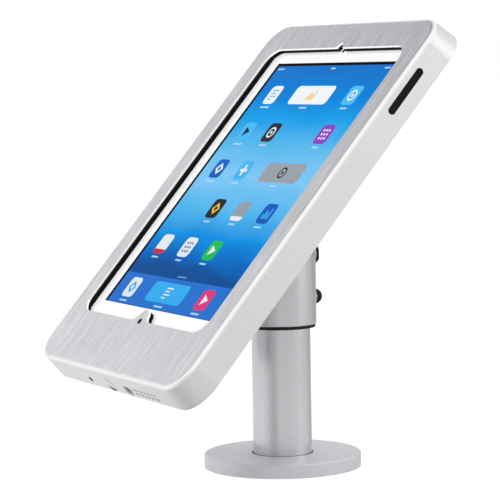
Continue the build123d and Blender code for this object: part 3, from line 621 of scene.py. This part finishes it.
def room():
    world = bpy.data.worlds.new("studio")
    bpy.context.scene.world = world
    world.use_nodes = True
    tree = world.node_tree
    tree.nodes.clear()
    path = add(tree, "LightPath").outputs
    way = add(tree, "TexCoord").outputs["Generated"]
    parts = split(tree, way)
    # seen in gloss: white walls of unlike brightness round the object, and a dim place up behind
    walls = ramp(tree, turn_round(tree, parts), [
        (0.0, "#E8E8E9"), (0.18, "#FFFFFF"), (0.25, "#F4F4F5"), (0.33, "#5A5B5E"),
        (0.40, "#CFD0D1"), (0.49, "#D6D7D8"), (0.56, "#F2F2F3"), (0.64, "#F6F6F7"),
        (0.72, "#F0F0F1"), (0.80, "#6C6D70"), (0.94, "#A8A9AC"), (1.0, "#E8E8E9")])
    lower = spread(tree, parts["Z"], WALL_TOPS, (1.0, 0.0))
    walls = mix_colour(tree, lower, WHITE, walls)
    near_dim = measure(tree, "DOT_PRODUCT", way, DIM_PLACE)
    dim = ramp(tree, spread(tree, near_dim, DIM_REACH, (0.0, 1.0)), [
        (0.0, "#FFFFFF"), (0.15, "#FDFDFE"), (0.33, "#EDEDEF"), (0.53, "#D6D7D9"),
        (0.67, "#AAABAE"), (1.0, "#98999C")])
    gloss = background(tree, mix_colour(tree, 1.0, walls, dim, blend="MULTIPLY"))
    # the light that falls on matt faces is a little stronger from the left
    change = product(tree, measure(tree, "DOT_PRODUCT", way, BRIGHT_SIDE), FILL_CHANGE)
    fill = background(tree, WHITE, maths(tree, "ADD", FILL, change))
    unseen = add(tree, "MixShader", {0: path["Is Glossy Ray"], 1: fill, 2: gloss}).outputs[0]
    white = background(tree, WHITE)
    mixed = add(tree, "MixShader", {0: seen_directly(tree, path), 1: unseen, 2: white})
    add(tree, "OutputWorld", {"Surface": mixed.outputs[0]})


def pale_floor():
    data = bpy.data.meshes.new("floor")
    corners = [(x, y, 0) for x, y in box(-FLOOR_HALF, FLOOR_HALF, -FLOOR_HALF, FLOOR_HALF)]
    data.from_pydata(corners, [], [range(len(corners))])
    floor = bpy.data.objects.new("floor", data)
    bpy.context.scene.collection.objects.link(floor)
    material, tree = new_material("pale_floor")
    path = add(tree, "LightPath").outputs
    place = in_row_frame(tree)
    # seen in gloss: a pool of light near the object, dimmer further off, with darker bands
    far = measure(tree, "DISTANCE", place, POOL_PLACE)
    bands = ramp(tree, turn_round(tree, split(tree, place)), [
        (0.0, "#F0F0F0"), (0.19, "#FAFAFA"), (0.25, "#E8E8E8"), (0.335, "#A0A0A0"),
        (0.40, "#E8E8E8"), (0.46, "#E8E8E8"), (0.55, "#F4F4F4"), (0.63, "#FFFFFF"),
        (0.72, "#F4F4F4"), (0.80, "#B0B0B0"), (0.94, "#F0F0F0"), (1.0, "#F0F0F0")])
    pool = product(tree, spread(tree, far, POOL_REACH, POOL_GLOW), bands)
    glow = maths(tree, "MAXIMUM", product(tree, seen_directly(tree, path), FLOOR_GLOW),
                 product(tree, path["Is Glossy Ray"], pool))
    paint = add(tree, "BsdfDiffuse", {"Color": linear("#9A9A9A")}).outputs[0]
    shine = add(tree, "Emission", {"Color": WHITE, "Strength": glow}).outputs[0]
    close(tree, add(tree, "AddShader", {0: paint, 1: shine}))
    data.materials.append(material)


def lamp(name, azimuth, elevation, distance, size, power, in_gloss):
    """A square softbox: azimuth from +X towards +Y and elevation in degrees, distance and size
    in metres, power in watts. One that isn't seen in gloss lights only matt faces."""
    a, e = math.radians(azimuth), math.radians(elevation)
    away = Vector((math.cos(e) * math.cos(a), math.cos(e) * math.sin(a), math.sin(e)))
    data = bpy.data.lights.new(name, "AREA")
    data.shape = "SQUARE"
    data.size = size
    data.energy = power
    softbox = bpy.data.objects.new(name, data)
    softbox.location = LAMP_AIM + away * distance
    softbox.rotation_euler = away.to_track_quat("Z", "Y").to_euler()
    softbox.visible_glossy = in_gloss
    bpy.context.scene.collection.objects.link(softbox)


def camera():
    ahead = Vector((-math.sin(CAMERA_YAW) * math.cos(CAMERA_PITCH),
                    math.cos(CAMERA_YAW) * math.cos(CAMERA_PITCH), math.sin(CAMERA_PITCH)))
    level = Vector((math.cos(CAMERA_YAW), math.sin(CAMERA_YAW), 0))
    upright = level.cross(ahead)
    right = level * math.cos(CAMERA_ROLL) + upright * math.sin(CAMERA_ROLL)
    up = upright * math.cos(CAMERA_ROLL) - level * math.sin(CAMERA_ROLL)
    turn = Matrix((right, up, -ahead)).transposed().to_4x4()
    data = bpy.data.cameras.new("camera")
    data.sensor_width = SENSOR_WIDTH
    data.lens = FOCAL_LENGTH
    data.clip_end = CAMERA_REACH
    view = bpy.data.objects.new("camera", data)
    view.matrix_world = Matrix.Translation(CAMERA_PLACE) @ turn
    bpy.context.scene.collection.objects.link(view)
    bpy.context.scene.camera = view


room()
pale_floor()
lamp("right_softbox", 48, 14, 2.0, 1.2, 3.5, in_gloss=True)
lamp("left_softbox", -130, 18, 1.8, 1.5, 7, in_gloss=False)
lamp("front_softbox", -50, 48, 1.8, 1.6, 7, in_gloss=False)
camera()
bpy.context.scene.view_settings.view_transform = "Standard"
